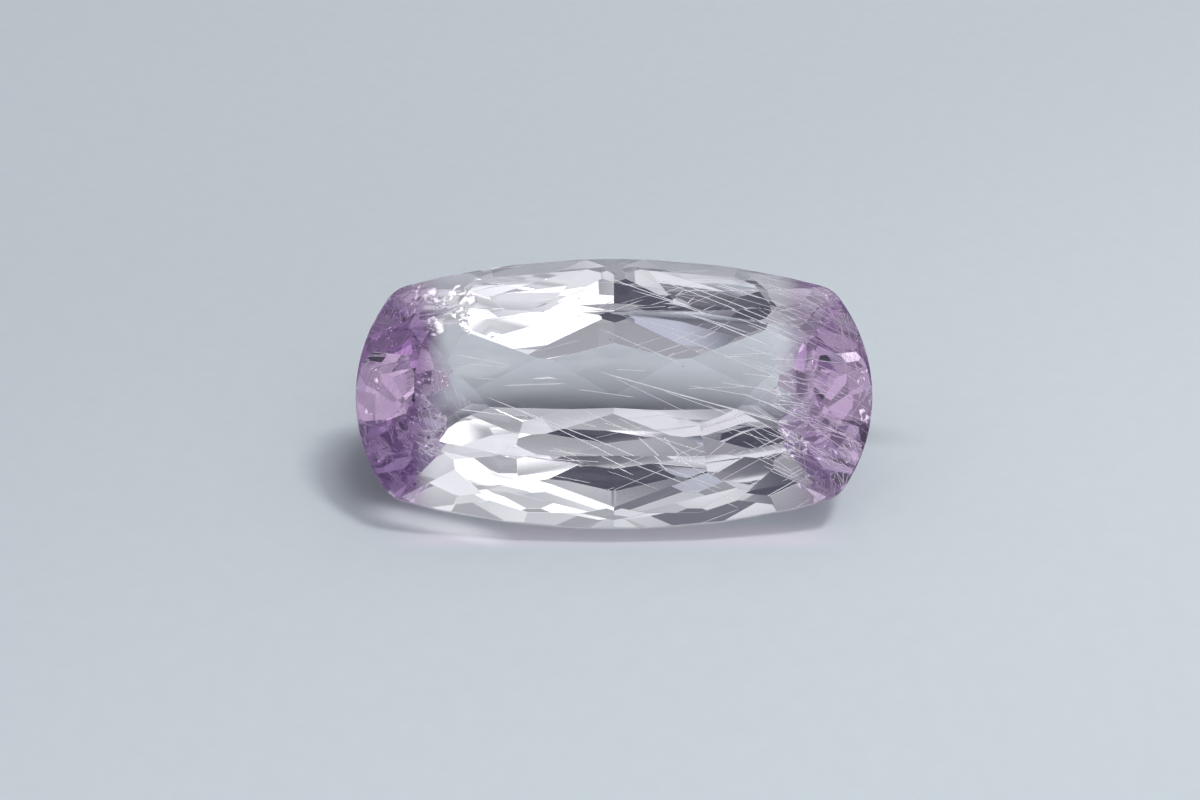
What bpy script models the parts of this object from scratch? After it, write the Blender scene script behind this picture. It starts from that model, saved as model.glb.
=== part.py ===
"""Faceted cushion of kunzite, cut facet by facet from a block and laid on a pavilion facet."""

import math

import bmesh
import bpy
from mathutils import Matrix, Vector

# Driving dimensions, in millimetres and degrees. The stone is laid out with its
# girdle plane at z = 0, its length along x and its table facing up.
HALF_LENGTH = 12.29
HALF_WIDTH = 6.57
SIDE_RADIUS = 38.2        # bow of the long sides, seen from above
END_RADIUS = 8.2          # bow of the short ends
CORNER_RADIUS = 1.5
GIRDLE_STEP = 5           # degrees between neighbouring strips of the girdle
GIRDLE_HEIGHT = 0.4
CROWN_HEIGHT = 1.5        # girdle plane up to the table
REST_SLOPE = 41.0         # slope of the pavilion facet that the stone lies on
MM = 0.001                # metres in a millimetre

# Crown facets: (azimuth, slope, anchor). The anchor is a point of the facet's
# plane, or None where the facet starts at the upper edge of the girdle. Each
# row lists the right-hand facet, and the left-hand one is its mirror image.
REAR_CROWN = (
    (85.0, 37.0, None), (77.0, 36.5, None), (67.0, 36.0, None), (52.0, 36.0, None),
    (90.0, 22.5, (0.0, 3.55, CROWN_HEIGHT)),
    (84.8, 23.9, (4.3, 3.45, CROWN_HEIGHT)),
    (66.2, 26.4, (8.7, 2.62, CROWN_HEIGHT)),
    (88.7, 20.0, (2.1, 3.5, CROWN_HEIGHT)),
    (81.0, 17.0, (6.5, 3.05, CROWN_HEIGHT)),
)
FRONT_CROWN = (
    (87.3, 40.0, None), (80.0, 39.0, None), (72.0, 39.0, None), (56.0, 38.0, None),
    (90.0, 32.0, (0.0, 5.4, 0.83)),
    (86.0, 24.0, (4.5, 3.45, CROWN_HEIGHT)),
    (65.6, 27.2, (8.9, 2.6, CROWN_HEIGHT)),
    (75.1, 31.6, (7.45, 3.9, 1.22)),
    (90.0, 13.0, (0.0, 3.48, CROWN_HEIGHT)),
    (78.5, 14.0, (6.7, 3.08, CROWN_HEIGHT)),
)
END_CROWN = (
    (5.0, 36.0, None), (15.0, 36.0, None), (28.0, 36.0, None), (40.0, 36.0, None),
    (0.0, 27.0, (9.35, 0.0, CROWN_HEIGHT)),
    (12.0, 18.0, (9.15, 1.35, CROWN_HEIGHT)),
    (27.0, 27.0, (8.95, 2.1, CROWN_HEIGHT)),
)

# Pavilion facets, from the girdle down to the keel: (azimuth, slope, inset, drop).
# The last two say how far inside the outline and below the girdle plane the
# facet's plane passes. Rows take turns, so that the facets meet as rhombs. ENDS
# are cut at both ends and all four corners.
PAVILION_GIRDLE = tuple((azimuth, 64.0, 0.0, GIRDLE_HEIGHT)
                        for azimuth in (88.0, 80.0, 72.0, 60.0, 45.0, 33.0, 20.0, 7.0))
PAVILION_ENDS = (
    (63.0, 48.0, 0.15, 0.73), (38.0, 48.0, 0.15, 0.73), (20.0, 47.0, 0.15, 0.73), (0.0, 47.0, 0.15, 0.73),
    (70.0, 43.5, 3.27, 4.02), (50.0, 43.5, 3.27, 4.02), (28.0, 42.5, 3.27, 4.02), (9.0, 42.5, 3.27, 4.02),
    (35.0, 38.0, 4.2, 4.8), (0.0, 38.0, 4.2, 4.8), (18.0, 33.0, 6.1, 6.1),
)
PAVILION_REAR = (
    (90.0, 50.0, 0.15, 0.54), (78.5, 51.0, 0.15, 0.73),
    (86.5, 47.5, 3.6, 4.31), (90.0, 39.0, 3.67, 4.45), (78.5, 39.0, 3.67, 4.45),
    (82.0, 33.0, 4.4, 5.1),
)
# The front is cut a little differently, and its widest facet is the one that
# the stone lies on.
PAVILION_FRONT = (
    (90.0, REST_SLOPE, 2.37, 3.08), (86.2, 45.0, 2.37, 3.08), (77.0, 41.0, 3.3, 4.0),
    (82.0, 33.0, 4.9, 5.605),
    (84.5, 48.5, 0.25, 0.75), (73.0, 48.0, 0.15, 0.73), (90.0, 51.0, 0.15, 0.64),
)


def outline_point(azimuth, inset=0.0):
    """Point where a line square to the azimuth touches the cushion outline."""
    angle = math.radians(azimuth % 360.0)
    outward = Vector((abs(math.cos(angle)), abs(math.sin(angle))))
    side_centre = Vector((0.0, HALF_WIDTH - SIDE_RADIUS))
    end_centre = Vector((HALF_LENGTH - END_RADIUS, 0.0))
    side_reach = SIDE_RADIUS - CORNER_RADIUS
    end_reach = END_RADIUS - CORNER_RADIUS
    span = end_centre - side_centre
    along = (side_reach ** 2 - end_reach ** 2 + span.length_squared) / (2.0 * span.length)
    across = math.sqrt(side_reach ** 2 - along ** 2)
    ahead = span.normalized()
    corner_centre = side_centre + ahead * along + Vector((ahead.y, -ahead.x)) * across
    side_start = math.atan2(*(corner_centre - side_centre).yx)
    end_stop = math.atan2(*(corner_centre - end_centre).yx)
    turn = math.atan2(outward.y, outward.x)
    if turn >= side_start:
        point = side_centre + outward * SIDE_RADIUS
    elif turn <= end_stop:
        point = end_centre + outward * END_RADIUS
    else:
        point = corner_centre + outward * CORNER_RADIUS
    point = point - outward * inset
    return Vector((math.copysign(point.x, math.cos(angle)), math.copysign(point.y, math.sin(angle))))


def facet_normal(azimuth, slope, upward=True):
    turn, lean = math.radians(azimuth), math.radians(slope)
    height = math.cos(lean) if upward else -math.cos(lean)
    return Vector((math.cos(turn) * math.sin(lean), math.sin(turn) * math.sin(lean), height))


def cut(stone, normal, anchor):
    """Grind one flat facet: take off all that lies beyond a plane and close the face."""
    geometry = stone.verts[:] + stone.edges[:] + stone.faces[:]
    result = bmesh.ops.bisect_plane(stone, geom=geometry, dist=1e-4, plane_co=anchor,
                                    plane_no=normal, clear_outer=True)
    rim = [item for item in result["geom_cut"] if isinstance(item, bmesh.types.BMEdge)]
    rim = [edge for edge in rim if edge.is_boundary]
    if len(rim) > 2:
        bmesh.ops.contextual_create(stone, geom=rim)


def cut_mirrored(stone, azimuth, slope, anchor, upward=True, quadrants=((1, 1), (-1, 1))):
    """Cut a facet and its mirror images, once each."""
    done = set()
    for side, depth in quadrants:
        turned = azimuth if side > 0 else 180.0 - azimuth
        turned = (turned * depth) % 360.0
        if round(turned, 3) in done:
            continue
        done.add(round(turned, 3))
        place = Vector((anchor[0] * side, anchor[1] * depth, anchor[2]))
        cut(stone, facet_normal(turned, slope, upward), place)


def cut_crown(stone, rows, quadrants):
    for azimuth, slope, anchor in rows:
        if anchor is None:
            rim = outline_point(azimuth)
            anchor = (rim.x, rim.y, 0.0)
        cut_mirrored(stone, azimuth, slope, anchor, True, quadrants)


def cut_pavilion(stone, rows, quadrants):
    for azimuth, slope, inset, drop in rows:
        rim = outline_point(azimuth, inset)
        cut_mirrored(stone, azimuth, slope, (rim.x, rim.y, -drop), False, quadrants)


def cut_stone():
    stone = bmesh.new()
    block = Matrix.Diagonal((2.6 * HALF_LENGTH, 3.0 * HALF_WIDTH, 24.0, 1.0))
    bmesh.ops.create_cube(stone, size=1.0, matrix=block)
    for azimuth in range(0, 360, GIRDLE_STEP):
        rim = outline_point(azimuth)
        cut(stone, facet_normal(azimuth, 90.0), Vector((rim.x, rim.y, 0.0)))
    cut(stone, Vector((0.0, 0.0, 1.0)), Vector((0.0, 0.0, CROWN_HEIGHT)))
    rear, front = ((1, 1), (-1, 1)), ((1, -1), (-1, -1))
    cut_crown(stone, REAR_CROWN, rear)
    cut_crown(stone, FRONT_CROWN, front)
    cut_crown(stone, END_CROWN, rear + front)
    cut_pavilion(stone, PAVILION_GIRDLE, rear + front)
    cut_pavilion(stone, PAVILION_ENDS, rear + front)
    cut_pavilion(stone, PAVILION_REAR, rear)
    cut_pavilion(stone, PAVILION_FRONT, front)
    bmesh.ops.remove_doubles(stone, verts=stone.verts[:], dist=0.01)
    bmesh.ops.recalc_face_normals(stone, faces=stone.faces[:])
    return stone


def lay_down(stone):
    """Turn the stone onto its resting facet, with the origin under the middle of it."""
    to_metres = Matrix.Diagonal((MM, MM, MM, 1.0))
    turned = Matrix.Rotation(math.radians(REST_SLOPE), 4, "X") @ to_metres
    bmesh.ops.transform(stone, matrix=turned, verts=stone.verts[:])
    low = Vector([min(vert.co[axis] for vert in stone.verts) for axis in range(3)])
    high = Vector([max(vert.co[axis] for vert in stone.verts) for axis in range(3)])
    middle = (low + high) / 2.0
    bmesh.ops.translate(stone, vec=Vector((-middle.x, -middle.y, -low.z)), verts=stone.verts[:])


def crystal_material():
    material = bpy.data.materials.new("kunzite_polished")
    material.use_nodes = True
    shader = material.node_tree.nodes["Principled BSDF"]
    shader.inputs["Base Color"].default_value = (0.82, 0.76, 0.86, 1.0)
    shader.inputs["Roughness"].default_value = 0.02
    shader.inputs["Metallic"].default_value = 0.0
    shader.inputs["IOR"].default_value = 1.66
    shader.inputs["Transmission Weight"].default_value = 1.0
    return material


def main():
    for item in list(bpy.data.objects):
        bpy.data.objects.remove(item, do_unlink=True)
    stone = cut_stone()
    lay_down(stone)
    mesh = bpy.data.meshes.new("kunzite")
    stone.to_mesh(mesh)
    stone.free()
    mesh.materials.append(crystal_material())
    gem = bpy.data.objects.new("kunzite", mesh)
    collection = bpy.data.collections.new("cushion_kunzite")
    bpy.context.scene.collection.children.link(collection)
    collection.objects.link(gem)
    print(gem.name, len(mesh.polygons), "facets", [round(side / MM, 2) for side in gem.dimensions])


main()
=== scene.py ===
# %% [markdown]
# # A faceted kunzite on white paper
#
# The stone is a long cushion cut of clear kunzite. It lies on one of its
# pavilion facets, so its table leans towards the viewer. The solid from the
# CAD frame gives the facets. Here it gets its crystal finish, the fine growth
# needles and small cracks inside it, the paper it lies on and a soft light.

# %% Load the solid
import math
import random

import bpy
from mathutils import Matrix, Vector


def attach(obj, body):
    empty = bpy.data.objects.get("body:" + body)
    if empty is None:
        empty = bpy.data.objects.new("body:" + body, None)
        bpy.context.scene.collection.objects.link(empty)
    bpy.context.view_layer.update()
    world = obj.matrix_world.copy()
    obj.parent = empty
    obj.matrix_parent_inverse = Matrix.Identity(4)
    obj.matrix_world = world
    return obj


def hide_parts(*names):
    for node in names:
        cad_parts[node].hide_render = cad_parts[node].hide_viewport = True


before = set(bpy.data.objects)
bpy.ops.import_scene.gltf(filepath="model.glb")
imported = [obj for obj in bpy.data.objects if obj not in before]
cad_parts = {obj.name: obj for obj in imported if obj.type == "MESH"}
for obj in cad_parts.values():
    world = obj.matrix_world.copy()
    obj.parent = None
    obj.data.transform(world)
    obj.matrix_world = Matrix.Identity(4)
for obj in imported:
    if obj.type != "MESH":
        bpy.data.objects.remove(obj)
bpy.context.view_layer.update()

# %% [markdown]
# Lengths are easier to read in millimetres here, because the stone is small.
# A few short helpers do what one does by hand around each modelling step:
# clear the selection and pick the object to work on, apply its place, and join
# many small things into one.

# %% Small helpers
MM = 0.001


def pick(item):
    """Select one object alone and make it the active one."""
    bpy.ops.object.select_all(action="DESELECT")
    item.select_set(True)
    bpy.context.view_layer.objects.active = item
    return item


def settle(item):
    """Apply the object's place, turn and size, so that it sits at the origin."""
    pick(item)
    bpy.ops.object.transform_apply(location=True, rotation=True, scale=True)
    return item


def make_one(parts, name):
    """Apply the parts' places, join them and give the whole a name."""
    pick(parts[0])
    for part in parts:
        part.select_set(True)
    bpy.ops.object.transform_apply(location=True, rotation=True, scale=True)
    bpy.ops.object.join()
    bpy.context.object.name = name
    return bpy.context.object


def edit_all():
    """Open the active object in edit mode with everything selected."""
    bpy.ops.object.mode_set(mode="EDIT")
    bpy.ops.mesh.select_all(action="SELECT")


def leave_edit():
    bpy.ops.object.mode_set(mode="OBJECT")


# %% [markdown]
# Shader nodes can be written as ordinary sums. `Sum` wraps one output of a
# node, and adding or multiplying two of them places the Math node that does
# it. `place` adds any other node, with its settings, values and links.

# %% Shader maths as plain expressions
class Sum:
    def __init__(self, tree, socket):
        self.tree, self.socket = tree, socket

    def maths(self, operation, *others):
        values = dict(enumerate(others))
        return place(self.tree, "ShaderNodeMath", {"operation": operation}, values)

    def __add__(self, other):
        return self.maths("ADD", self, other)

    def __sub__(self, other):
        return self.maths("SUBTRACT", self, other)

    def __mul__(self, other):
        return self.maths("MULTIPLY", self, other)

    def __abs__(self):
        return self.maths("ABSOLUTE", self)

    def root(self):
        return self.maths("SQRT", self)

    def ramp(self, start, stop, low=0.0, high=1.0):
        """Go smoothly from low to high while the value goes from start to stop."""
        values = {"Value": self, "From Min": start, "From Max": stop, "To Min": low, "To Max": high}
        return place(self.tree, "ShaderNodeMapRange", {"interpolation_type": "SMOOTHSTEP"}, values)


def place(tree, kind, settings=None, values=None, out=0):
    node = tree.nodes.new(kind)
    for name, value in (settings or {}).items():
        setattr(node, name, value)
    for name, value in (values or {}).items():
        if isinstance(value, Sum):
            tree.links.new(value.socket, node.inputs[name])
        else:
            node.inputs[name].default_value = value
    return Sum(tree, node.outputs[out])


# %% [markdown]
# A colour is written as three numbers, and every material starts from the
# Principled shader. `object_point` is the place on the piece in metres, from
# its origin, and all the patterns are made from it.

# %% Colours and materials
BLACK, WHITE = (0.0, 0.0, 0.0), (1.0, 1.0, 1.0)
SOCKETS = {
    "ior": "IOR", "transmission": "Transmission Weight", "roughness": "Roughness",
    "metallic": "Metallic", "glow": "Emission Strength", "gloss": "Specular IOR Level",
}


def blend(tree, factor, first, second):
    """Mix two colours, or two coloured outputs, by a factor."""
    node = tree.nodes.new("ShaderNodeMix")
    node.data_type = "RGBA"
    for index, value in ((0, factor), (6, first), (7, second)):
        if isinstance(value, Sum):
            tree.links.new(value.socket, node.inputs[index])
        elif isinstance(value, tuple):
            node.inputs[index].default_value = value + (1.0,)
        else:
            node.inputs[index].default_value = value
    return Sum(tree, node.outputs[2])


def material(name, **values):
    """Make a material, and set even values on its shader by their short names."""
    made = bpy.data.materials.new(name)
    made.use_nodes = True
    shader = made.node_tree.nodes["Principled BSDF"]
    for short_name, value in values.items():
        shader.inputs[SOCKETS[short_name]].default_value = value
    return made, made.node_tree, shader


def feed(tree, shader, name, value):
    tree.links.new(value.socket, shader.inputs[name])


def object_point(tree):
    return place(tree, "ShaderNodeTexCoord", out=3)


def axes(tree, point):
    apart = tree.nodes.new("ShaderNodeSeparateXYZ")
    tree.links.new(point.socket, apart.inputs[0])
    return [Sum(tree, output) for output in apart.outputs]


def noise(tree, point, scale, detail):
    values = {"Vector": point, "Scale": scale, "Detail": detail}
    return place(tree, "ShaderNodeTexNoise", None, values)


# %% [markdown]
# ## The stone
#
# The solid arrives as triangles. Merging its corners and dissolving the flat
# edges gives back one face for each ground facet. Each facet also gets a
# random tone, which makes some of the end facets deeper violet than others.

# %% Copy the solid and clean its facets
SAME_POINT = 0.01 * MM
SAME_PLANE = math.radians(0.3)
solid = bpy.data.objects["kunzite"]
stone = solid.copy()
stone.data = solid.data.copy()
stone.name = "kunzite_stone"
bpy.context.scene.collection.objects.link(stone)
settle(stone)
edit_all()
bpy.ops.mesh.remove_doubles(threshold=SAME_POINT)
bpy.ops.mesh.dissolve_limited(angle_limit=SAME_PLANE)
bpy.ops.mesh.normals_make_consistent(inside=False)
leave_edit()
bpy.ops.object.shade_flat()
dice = random.Random(7)
tones = stone.data.attributes.new("facet_tone", "FLOAT", "FACE")
for facet in range(len(stone.data.polygons)):
    tones.data[facet].value = dice.random()
print("facets:", len(stone.data.polygons))

# %% [markdown]
# Kunzite shows its pink violet mostly along the length of the crystal. Seen
# through the table the stone is almost without colour, and the ends look
# violet because their light has travelled the whole length. A weak violet
# absorption is the same all through the crystal, and the ends get a stronger
# tint from the distance to the middle.

# %% Crystal colour
CRYSTAL_IOR = 1.66
ABSORBED = (0.86, 0.74, 0.90, 1.0)
ABSORPTION_DENSITY = 13.0
END_START, END_FULL = 8.6 * MM, 10.2 * MM       # from the middle, along the stone
END_WAVE = 1.6 * MM                             # how unevenly the violet begins
PALE_VIOLET, DEEP_VIOLET = (0.80, 0.59, 0.82), (0.15, 0.06, 0.21)
crystal, tree, shader = material("kunzite_crystal", ior=CRYSTAL_IOR, transmission=1.0)
absorb = tree.nodes.new("ShaderNodeVolumeAbsorption")
absorb.inputs["Color"].default_value = ABSORBED
absorb.inputs["Density"].default_value = ABSORPTION_DENSITY
tree.links.new(absorb.outputs[0], tree.nodes["Material Output"].inputs["Volume"])
where = object_point(tree)
along_x, along_y, along_z = axes(tree, where)
uneven = noise(tree, where, 400.0, 1.0)
tone = place(tree, "ShaderNodeAttribute", {"attribute_name": "facet_tone"}, out=2)
deeper_left = along_x.ramp(0.0, -12.0 * MM, -0.1, 0.1)
patches = (tone * 0.8 + uneven * 0.4 + deeper_left).ramp(0.1, 0.9)
end = (abs(along_x) + uneven * END_WAVE).ramp(END_START, END_FULL)
violet = blend(tree, patches, PALE_VIOLET, DEEP_VIOLET)
feed(tree, shader, "Base Color", blend(tree, end, WHITE, violet))
print("violet from", END_START / MM, "mm to", END_FULL / MM, "mm off the middle")

# %% [markdown]
# A real facet edge is never perfectly sharp: polishing leaves a hair-thin
# rounded line, and that line is what glints between the facets. The girdle
# band is only ground, not polished, so it is a little rough.

# %% Edges and girdle
SLOPE = math.radians(41.0)      # lean of the table, from the facet that the stone lies on
MIDDLE = Vector((0.0, -0.120 * MM, 5.080 * MM))      # middle of the girdle plane
GIRDLE_LEVEL = -MIDDLE.y * math.sin(SLOPE) + MIDDLE.z * math.cos(SLOPE)
EDGE_ROUNDING = 0.03 * MM
BAND_MIDDLE = 0.2 * MM          # below the girdle plane
BAND_HALF, BAND_FADE = 0.17 * MM, 0.22 * MM
GROUND_ROUGHNESS = 0.22
rounded = place(tree, "ShaderNodeBevel", {"samples": 4}, {"Radius": EDGE_ROUNDING})
feed(tree, shader, "Normal", rounded)
height = along_y * -math.sin(SLOPE) + along_z * math.cos(SLOPE) - GIRDLE_LEVEL
band = abs(height + BAND_MIDDLE).ramp(BAND_HALF, BAND_FADE, 1.0, 0.0)
feed(tree, shader, "Roughness", band * GROUND_ROUGHNESS)
stone.data.materials.clear()
stone.data.materials.append(crystal)
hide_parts("kunzite")
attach(stone, "root")
print("crystal set on", stone.name)

# %% [markdown]
# ## Inside the stone
#
# The stone holds fine straight growth needles, most of them in its right half,
# a feather of small cracks at the rear left and a few specks. Their places are
# given in the stone's own frame, with x along the stone, y to the rear and the
# depth measured from the girdle plane down. A needle is clipped where it would
# come closer to a facet than a twentieth of a millimetre.

# %% The stone's own frame
NEEDLE_MARGIN = 0.05 * MM
SHORTEST_SHARE = 0.05           # of a needle's length, below which it is left out
TO_WORLD = Matrix.Translation(MIDDLE) @ Matrix.Rotation(SLOPE, 4, "X")
facets = [(face.center.copy(), face.normal.copy()) for face in stone.data.polygons]


def inside(start, stop):
    """Keep the part of a straight line that lies inside all facets, or give None."""
    first, last = 0.0, 1.0
    way = stop - start
    for centre, normal in facets:
        room_left = (centre - start).dot(normal) - NEEDLE_MARGIN
        speed = way.dot(normal)
        if abs(speed) < 1e-12:
            if room_left < 0.0:
                return None
        elif speed > 0.0:
            last = min(last, room_left / speed)
        else:
            first = max(first, room_left / speed)
    if last - first < SHORTEST_SHARE:
        return None
    return start + way * first, start + way * last


def stone_point(x, y, depth):
    return TO_WORLD @ Vector((x * MM, y * MM, -depth * MM))


print("lines are kept inside", len(facets), "facets")

# %% [markdown]
# One needle is a thin five-sided rod with both ends drawn out to a point. It is
# modelled once, one unit thick and long, and copied with its own length, place
# and direction.

# %% One needle
POINT_LENGTH = 0.08
POINT_WIDTH = 0.25
bpy.ops.object.select_all(action="DESELECT")
bpy.ops.mesh.primitive_cylinder_add(vertices=5, radius=0.5, depth=1.0 - 2.0 * POINT_LENGTH)
rod = bpy.context.object
bpy.ops.object.mode_set(mode="EDIT")
bpy.ops.mesh.select_mode(type="FACE")
for end in (-1.0, 1.0):
    bpy.ops.mesh.select_all(action="DESELECT")
    leave_edit()
    for face in rod.data.polygons:
        face.select = face.normal.z * end > 0.9
    bpy.ops.object.mode_set(mode="EDIT")
    outwards = {"value": (0.0, 0.0, POINT_LENGTH * end)}
    bpy.ops.mesh.extrude_region_move(TRANSFORM_OT_translate=outwards)
    bpy.ops.transform.resize(value=(POINT_WIDTH, POINT_WIDTH, 1.0))
leave_edit()
print("faces of one needle:", len(rod.data.polygons))

# %% [markdown]
# The needles that stand out in the middle of the stone are placed one by one.

# %% Clear needles
rods = []


def needle(start, stop, thickness):
    """Copy the rod between two points, as far as that line lies in the stone."""
    span = inside(start, stop)
    if span is None:
        return
    first, last = span
    way = last - first
    copy = rod.copy()
    copy.data = rod.data.copy()
    copy.location = (first + last) / 2.0
    copy.rotation_euler = way.to_track_quat("Z", "Y").to_euler()
    copy.scale = (thickness * MM, thickness * MM, way.length)
    bpy.context.scene.collection.objects.link(copy)
    rods.append(copy)


CLEAR_NEEDLES = (       # start x, y, end x, y, depth at start and end, thickness
    (-0.7, 5.6, 7.4, 2.1, 0.3, 0.2, 0.050), (-0.7, 0.9, 8.8, -1.9, 0.8, 0.4, 0.055),
    (-6.0, -0.3, 3.7, -4.4, 1.2, 0.5, 0.045), (-4.7, -0.9, 0.9, -3.7, 0.7, 0.9, 0.045),
    (1.2, -2.4, 2.5, -3.6, 0.4, 0.5, 0.050), (2.4, -2.4, 3.1, -3.2, 0.4, 0.6, 0.050),
    (-5.2, 0.2, -2.4, 0.3, 0.6, 0.6, 0.045), (-7.3, -1.0, -4.9, -1.3, 0.5, 0.7, 0.040),
    (-7.6, 1.7, -4.9, 1.2, 0.4, 0.6, 0.030), (-7.4, 1.3, -5.0, 1.1, 0.8, 0.6, 0.030),
    (2.1, 5.3, 9.6, 1.9, 0.5, 0.4, 0.040), (3.4, 5.0, 11.0, 1.6, 0.4, 0.6, 0.045),
    (4.6, 5.3, 11.2, 2.6, 0.6, 0.4, 0.040), (0.9, 4.7, 6.5, 2.7, 0.2, 0.2, 0.040),
)
for x, y, end_x, end_y, depth, end_depth, thickness in CLEAR_NEEDLES:
    needle(stone_point(x, y, depth), stone_point(end_x, end_y, end_depth), thickness)
print("clear needles:", len(rods))

# %% [markdown]
# The others lie in loose bundles, nearly parallel. The thickest bundle fills
# the right end.

# %% Bundles of fine needles
FINE, COARSE = 0.020, 0.036     # millimetres thick
CLIMB = 0.12                    # how far a needle may rise or sink on its length


def needle_bundle(amount, x_range, y_range, depth_range, length_range, slope_range):
    """Scatter nearly parallel needles, falling to the right as seen from above."""
    for _ in range(amount):
        x, y = dice.uniform(*x_range), dice.uniform(*y_range)
        depth, length = dice.uniform(*depth_range), dice.uniform(*length_range)
        fall = dice.uniform(*slope_range)
        half = Vector((1.0, -fall, dice.uniform(-CLIMB, CLIMB))).normalized() * length * MM / 2.0
        half = TO_WORLD.to_3x3() @ half
        middle = stone_point(x, y, depth)
        needle(middle - half, middle + half, dice.uniform(FINE, COARSE))


needle_bundle(52, (7.2, 12.0), (-3.5, 4.6), (0.1, 2.2), (1.6, 5.5), (0.25, 0.75))
needle_bundle(18, (1.0, 8.5), (-4.8, 5.4), (0.1, 2.6), (2.0, 6.5), (0.25, 0.55))
needle_bundle(12, (5.0, 9.5), (-0.8, 2.4), (0.2, 1.2), (1.2, 3.2), (-0.05, 0.18))
needle_bundle(12, (-8.0, 1.0), (-4.5, 2.0), (0.3, 2.5), (0.8, 3.0), (0.0, 0.5))
bpy.data.objects.remove(rod)
count = len(rods)
needles = make_one(rods, "growth_needles")
print("needles:", count)

# %% [markdown]
# The needles are silvery, and a painted glow makes them shine in short, beaded runs along their
# length.

# %% Needle material
glint, tree, shader = material("needle_glint", glow=0.4, roughness=0.35, metallic=0.5)
tone_and_painted_glow_runs = noise(tree, object_point(tree), 1500.0, 1.0)
feed(tree, shader, "Base Color", blend(tree, tone_and_painted_glow_runs, (0.80, 0.80, 0.84), WHITE))
# Painted glow: the emission stands in for light that the needles catch.
feed(tree, shader, "Emission Color", blend(tree, tone_and_painted_glow_runs, (0.60, 0.60, 0.63), (0.90, 0.90, 0.95)))
needles.data.materials.append(glint)
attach(needles, "root")
print("needle material set")

# %% [markdown]
# A crack inside a crystal shows as a thin, wrinkled film. Each one is a small
# round sheet, pulled about at random and finely divided. A sheet that would
# come through the surface is moved straight back from the facets it is too
# close to, and at the end all the sheets get a little thickness.

# %% Feather cracks
FEATHERS = (            # x, y, depth, size across, turn about z, lean
    (-8.9, 4.6, 0.0, 1.1, 20.0, 35.0), (-8.3, 4.1, -0.2, 0.9, -10.0, 20.0),
    (-7.6, 4.6, 0.1, 1.0, 35.0, 50.0), (-9.4, 5.0, 0.1, 0.7, 60.0, 40.0),
    (-7.3, 3.5, -0.3, 0.8, 5.0, 12.0), (-9.6, 3.9, 0.2, 0.8, 80.0, 60.0),
    (-8.5, 2.9, -0.2, 0.8, 15.0, 15.0), (-6.8, 4.3, -0.1, 0.7, -20.0, 30.0),
    (-7.0, 2.9, -0.4, 0.6, 0.0, 5.0), (-11.3, 0.4, 0.1, 0.5, 10.0, 30.0),
    (-11.0, 0.1, 0.2, 0.4, 50.0, 55.0), (10.4, 4.9, -0.1, 0.5, 40.0, 25.0),
    (11.7, 0.6, 0.1, 0.7, 80.0, 60.0), (11.8, -1.2, 0.1, 0.6, 95.0, 50.0),
    (-9.3, -1.6, 0.2, 0.3, 0.0, 10.0),
)
FILM_MARGIN = 0.06 * MM
FILM_THICKNESS = 0.008 * MM
JITTER = 0.22                   # of the size across
WRINKLES = 0.9
films = []


def move_inside(film):
    pick(film)
    for centre, normal in facets * 3:
        reach = max((film.matrix_world @ corner.co - centre).dot(normal)
                    for corner in film.data.vertices)
        if reach > -FILM_MARGIN:
            bpy.ops.transform.translate(value=-normal * (reach + FILM_MARGIN))
            bpy.context.view_layer.update()


for number, (x, y, depth, across, turn, lean) in enumerate(FEATHERS):
    turned = TO_WORLD.to_3x3().to_4x4() @ Matrix.Rotation(math.radians(turn), 4, "Z")
    turned = turned @ Matrix.Rotation(math.radians(lean), 4, "X")
    bpy.ops.object.select_all(action="DESELECT")
    bpy.ops.mesh.primitive_circle_add(vertices=11, radius=across * MM / 2.0, fill_type="TRIFAN",
                                      location=stone_point(x, y, depth),
                                      rotation=turned.to_euler())
    edit_all()
    bpy.ops.transform.vertex_random(offset=JITTER * across * MM, seed=number)
    bpy.ops.mesh.subdivide(number_cuts=3, fractal=WRINKLES, seed=number)
    leave_edit()
    films.append(bpy.context.object)
    move_inside(films[-1])
feathers = make_one(films, "feather_cracks")
plate = feathers.modifiers.new("plate", "SOLIDIFY")
plate.thickness = FILM_THICKNESS
plate.offset = 0.0
bpy.ops.object.modifier_apply(modifier="plate")
print("feathers:", len(films))

# %% [markdown]
# The films are silvery where the crack is open and almost clear between. A painted glow on the open
# parts stands in for the light that the cracks catch.

# %% Crack material
silver, tree, shader = material("crack_film", glow=0.8, roughness=0.25, metallic=0.8)
wrinkles = noise(tree, object_point(tree), 3000.0, 4.0)
feed(tree, shader, "Base Color", blend(tree, wrinkles, (0.75, 0.74, 0.80), WHITE))
feed(tree, shader, "Alpha", wrinkles.ramp(0.45, 0.52, 0.03, 1.0))
# Painted glow: the open parts of the film shine by emission.
painted_glow_mask = wrinkles.ramp(0.48, 0.60)
feed(tree, shader, "Emission Color", blend(tree, painted_glow_mask, BLACK, (1.0, 0.98, 1.0)))
feathers.data.materials.append(silver)
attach(feathers, "root")
print("crack material set")

# %% [markdown]
# A few grains sit in the crystal too. Each is a small ball pulled out of shape.

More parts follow.
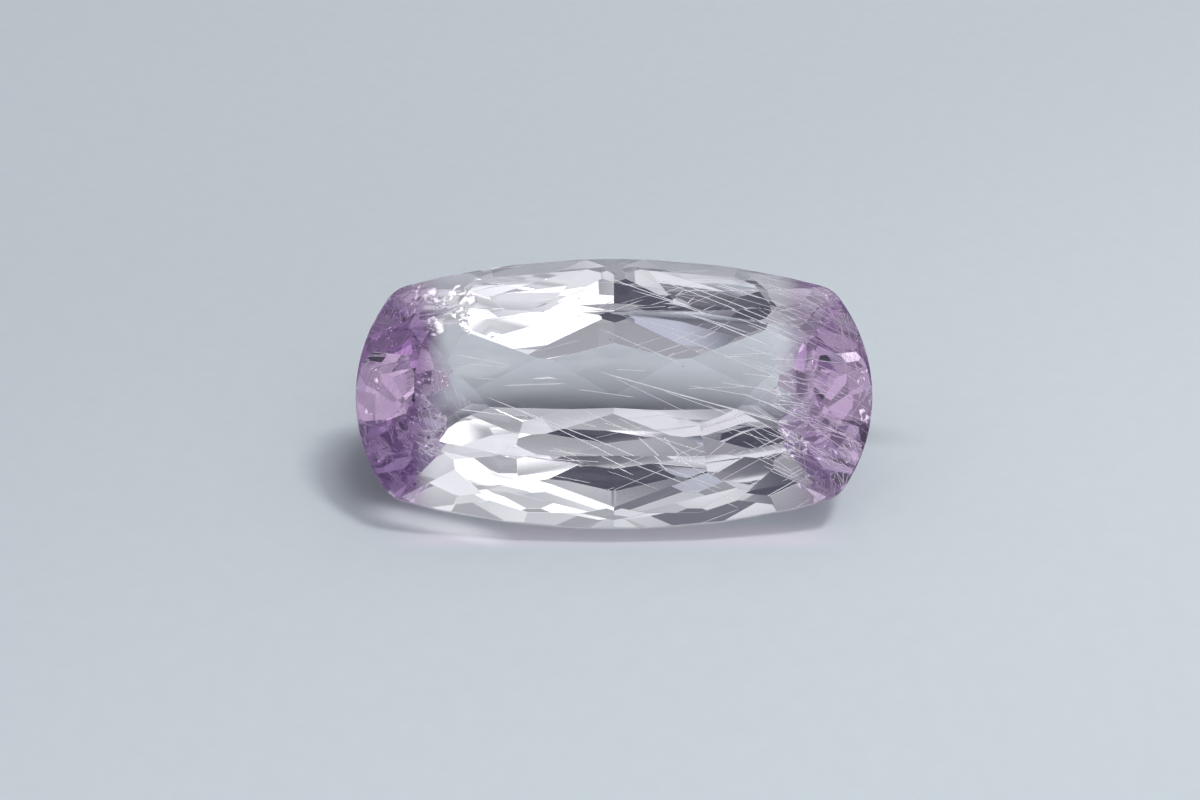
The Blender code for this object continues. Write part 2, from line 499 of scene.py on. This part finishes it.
# %% Specks
CLEAREST_SPECK = (3.24, 0.85, -1.35)        # just under the table
SPECK_MARGIN = 0.1 * MM
grains = []
for number in range(9):
    x, y, depth = dice.uniform(-10.0, 10.0), dice.uniform(-4.0, 4.5), dice.uniform(-0.9, 3.0)
    if number == 0:
        x, y, depth = CLEAREST_SPECK
    spot = stone_point(x, y, depth)
    if min((centre - spot).dot(normal) for centre, normal in facets) < SPECK_MARGIN:
        continue
    radius = dice.uniform(0.020, 0.040) * MM
    bpy.ops.object.select_all(action="DESELECT")
    bpy.ops.mesh.primitive_ico_sphere_add(subdivisions=2, radius=radius, location=spot)
    edit_all()
    bpy.ops.transform.resize(value=(1.6, 1.0, 0.8))
    bpy.ops.transform.vertex_random(offset=0.25 * radius, seed=number)
    leave_edit()
    grains.append(bpy.context.object)
specks = make_one(grains, "specks")
dust, tree, shader = material("speck_grey", roughness=0.6)
mottle = noise(tree, object_point(tree), 700.0, 0.0).ramp(0.45, 0.55)
feed(tree, shader, "Base Color", blend(tree, mottle, (0.15, 0.15, 0.17), (0.8, 0.8, 0.8)))
specks.data.materials.append(dust)
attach(specks, "root")
print("specks:", len(grains))

# %% [markdown]
# ## The paper
#
# The stone lies on a large sheet of pale, slightly bluish paper. A very fine
# grain keeps it from looking like plastic, and a painted shade makes it a little
# darker towards the rear left, where less light falls. The sheet lies a hair below
# the stone, so that the resting facet mirrors as polished crystal does.

# %% Paper
PAPER_GAP = 0.03 * MM
bpy.ops.object.select_all(action="DESELECT")
bpy.ops.mesh.primitive_plane_add(size=1.6, location=(0.0, 0.3, -PAPER_GAP))
paper = bpy.context.object
paper.name = "paper"
settle(paper)
# The paper's glow strength serves only the painted pool of light at the front left; elsewhere the
# glow colour is black.
card, tree, shader = material("pale_paper", glow=0.28, roughness=0.85, gloss=0.2)
where = object_point(tree)
across, back, _ = axes(tree, where)
grain = noise(tree, where, 900.0, 3.0)
surface = blend(tree, grain, (0.76, 0.82, 0.85), (0.80, 0.86, 0.89))
# Painted shade: a little darker towards the rear left, where less light falls.
painted_falloff = (across * 0.5 - back).ramp(-0.04, 0.03)
surface = blend(tree, painted_falloff, blend(tree, 0.13, surface, BLACK), surface)
print("paper lies", PAPER_GAP / MM, "mm under the stone")

# %% [markdown]
# The shade right behind the stone and at its left end is deeper than one lamp
# makes it, so a painted shade darkens the paper there. A painted violet tint
# marks the front edge of the stone's shadow.

# %% Painted shade on the paper
SHADE = (0.10, 0.10, 0.13)
VIOLET_SHADE = (0.97, 0.90, 1.0)
from_middle = (across * across * 0.12 + back * back).root()
behind = from_middle.ramp(3.6 * MM, 6.6 * MM, 0.92, 0.0) * back.ramp(2.0 * MM, 4.0 * MM)
left, ahead = across + 11.6 * MM, back - 0.6 * MM
beside = (left * left + ahead * ahead * 0.4).root().ramp(0.8 * MM, 3.2 * MM, 0.55, 0.0)
# Painted shade behind the stone and at its left end.
surface = blend(tree, behind.maths("MAXIMUM", behind, beside), surface, SHADE)
painted_violet_edge = (back.ramp(-5.9 * MM, -5.0 * MM) * back.ramp(-4.5 * MM, -3.5 * MM, 1.0, 0.0)
            * abs(across).ramp(8.0 * MM, 11.5 * MM, 0.6, 0.0))
# Painted violet tint along the front edge of the stone's shadow.
surface = blend(tree, painted_violet_edge, surface, VIOLET_SHADE)
feed(tree, shader, "Base Color", surface)
print("shade behind, beside and in front of the stone")

# %% [markdown]
# A little light that the stone gathers falls on the paper at its front left. It is painted on as a
# glow of the paper.

# %% Painted gathered light
PAINTED_LIGHT_COLOUR = (0.94, 0.96, 1.0)
streak = back + 3.5 * MM + (across + 9.6 * MM) * 0.33
painted_light_mask = (abs(streak).ramp(0.1 * MM, 1.0 * MM, 1.0, 0.0)
            * abs(across + 8.6 * MM).ramp(1.2 * MM, 4.2 * MM, 1.0, 0.0))
# Painted light: the paper glows where the stone would gather light onto it.
feed(tree, shader, "Emission Color", blend(tree, painted_light_mask, BLACK, PAINTED_LIGHT_COLOUR))
paper.data.materials.append(card)
print("paper set as the floor")

# %% [markdown]
# ## Light
#
# One lamp high on the right throws the soft shadow. It stands where no facet
# mirrors it towards the camera.

# %% Key lamp
def from_stone(azimuth, elevation):
    """Give the direction that lies so many degrees round from +X and above the floor."""
    turn, rise = math.radians(azimuth), math.radians(elevation)
    flat = math.cos(rise)
    return Vector((flat * math.cos(turn), flat * math.sin(turn), math.sin(rise)))


LAMP_DISTANCE = 0.30
LAMP_HALF_ANGLE = math.radians(5.0)
LAMP_BRIGHTNESS = 27.0
lamp = bpy.data.lights.new("key_lamp", "AREA")
lamp.shape = "SQUARE"
lamp.size = 2.0 * LAMP_DISTANCE * math.tan(LAMP_HALF_ANGLE)
lamp.energy = math.pi * lamp.size ** 2 * LAMP_BRIGHTNESS
key = bpy.data.objects.new("key_lamp", lamp)
bpy.context.scene.collection.objects.link(key)
towards_lamp = from_stone(14.0, 66.0)
key.location = towards_lamp * LAMP_DISTANCE
key.rotation_euler = (-towards_lamp).to_track_quat("-Z", "Y").to_euler()
print("lamp", LAMP_DISTANCE, "m away")

# %% [markdown]
# A faceted stone is a set of small windows and mirrors, so its pattern of
# white, grey and slate facets is a picture of the room. The room is grey, a
# little lighter on the right, with vague lighter and darker things in it.

# %% The walls of the room
room = bpy.data.worlds.new("studio_room")
bpy.context.scene.world = room
room.use_nodes = True
tree = room.node_tree
outward = place(tree, "ShaderNodeTexCoord", out=0)
rightward = axes(tree, outward)[0].ramp(-0.6, 0.6)
walls = blend(tree, rightward, (0.44, 0.45, 0.49), (0.70, 0.73, 0.76))
things = noise(tree, outward, 5.0, 1.0)
walls = blend(tree, things.ramp(0.40, 0.62, 0.0, 0.6), walls, (0.20, 0.20, 0.23))
walls = blend(tree, things.ramp(0.48, 0.36, 0.0, 0.6), walls, (0.98, 1.0, 1.04))
print("grey walls")

# %% [markdown]
# Seven pale boards shine on the stone, five before it and two behind it, and
# darker places lie between them. Each place is a round patch with a soft edge,
# and a later one covers an earlier one.

# %% Boards and dark places
SLATE, DUSK = (0.05, 0.05, 0.08), (0.13, 0.13, 0.17)
HAZE, BOARD = (0.50, 0.54, 0.64), (1.45, 1.46, 1.50)
PLACES = (              # azimuth, elevation, core, edge, all in degrees, and colour
    (-111.0, 57.0, 4.0, 8.0, HAZE), (-131.0, 47.0, 6.5, 10.0, SLATE),
    (-125.0, 67.0, 2.5, 5.0, DUSK), (98.0, 62.0, 5.0, 9.0, DUSK),
    (100.0, 36.0, 3.0, 6.0, DUSK), (-96.0, 55.0, 6.5, 9.0, SLATE),
    (-66.0, 60.0, 3.5, 8.0, BOARD), (-49.0, 62.0, 5.0, 10.0, BOARD),
    (-38.5, 51.0, 2.5, 6.0, BOARD), (-64.0, 37.0, 2.5, 6.0, BOARD),
    (-82.0, 50.5, 1.5, 4.0, BOARD), (79.0, 42.0, 2.0, 5.0, BOARD),
    (80.0, 60.0, 2.0, 6.0, BOARD),
)


def patch(azimuth, elevation, core, edge):
    """Go from 0 outside a round place in the room to 1 inside it."""
    along = tree.nodes.new("ShaderNodeVectorMath")
    along.operation = "DOT_PRODUCT"
    tree.links.new(outward.socket, along.inputs[0])
    along.inputs[1].default_value = from_stone(azimuth, elevation)
    nearness = Sum(tree, along.outputs[1])
    return nearness.ramp(math.cos(math.radians(edge)), math.cos(math.radians(core)))


for azimuth, elevation, core, edge, colour in PLACES:
    walls = blend(tree, patch(azimuth, elevation, core, edge), walls, colour)
feed(tree, tree.nodes["Background"], "Color", walls)
print("one lamp and a room with", len(PLACES), "places")

# %% [markdown]
# Light goes back and forth in the crystal many times before it comes out, so
# the render has to follow it for long. Plain sRGB keeps the paper's pale tones.

# %% Light paths and tones
light_paths = bpy.context.scene.cycles
light_paths.max_bounces = 24
light_paths.glossy_bounces = 16
light_paths.transmission_bounces = 24
bpy.context.scene.view_settings.view_transform = "Standard"
print("bounces:", light_paths.max_bounces)

# %% [markdown]
# ## Camera
#
# The camera looks down at the stone from the front, about a hand's width away.

# %% Camera
VIEW_DISTANCE = 85.7 * MM
VIEW_LEAN = math.radians(55.0)      # between the line of sight and straight down
FOCAL_LENGTH = 54.0
SENSOR_WIDTH = 36.0
PICTURE_WIDTH = 1200.0
SHIFT_RIGHT, SHIFT_UP = -14.0, -9.0     # in pixels of that picture
lens = bpy.data.cameras.new("camera")
camera = bpy.data.objects.new("camera", lens)
bpy.context.scene.collection.objects.link(camera)
towards_camera = Vector((0.0, -math.sin(VIEW_LEAN), math.cos(VIEW_LEAN)))
camera.location = MIDDLE + towards_camera * VIEW_DISTANCE
camera.rotation_euler = (VIEW_LEAN, 0.0, 0.0)
lens.sensor_width = SENSOR_WIDTH
lens.lens = FOCAL_LENGTH
lens.shift_x = SHIFT_RIGHT / PICTURE_WIDTH
lens.shift_y = SHIFT_UP / PICTURE_WIDTH
lens.clip_start = 2.0 * MM
bpy.context.scene.camera = camera
print("camera", VIEW_DISTANCE / MM, "mm from the stone")

# %% Finish
print("scene finished")
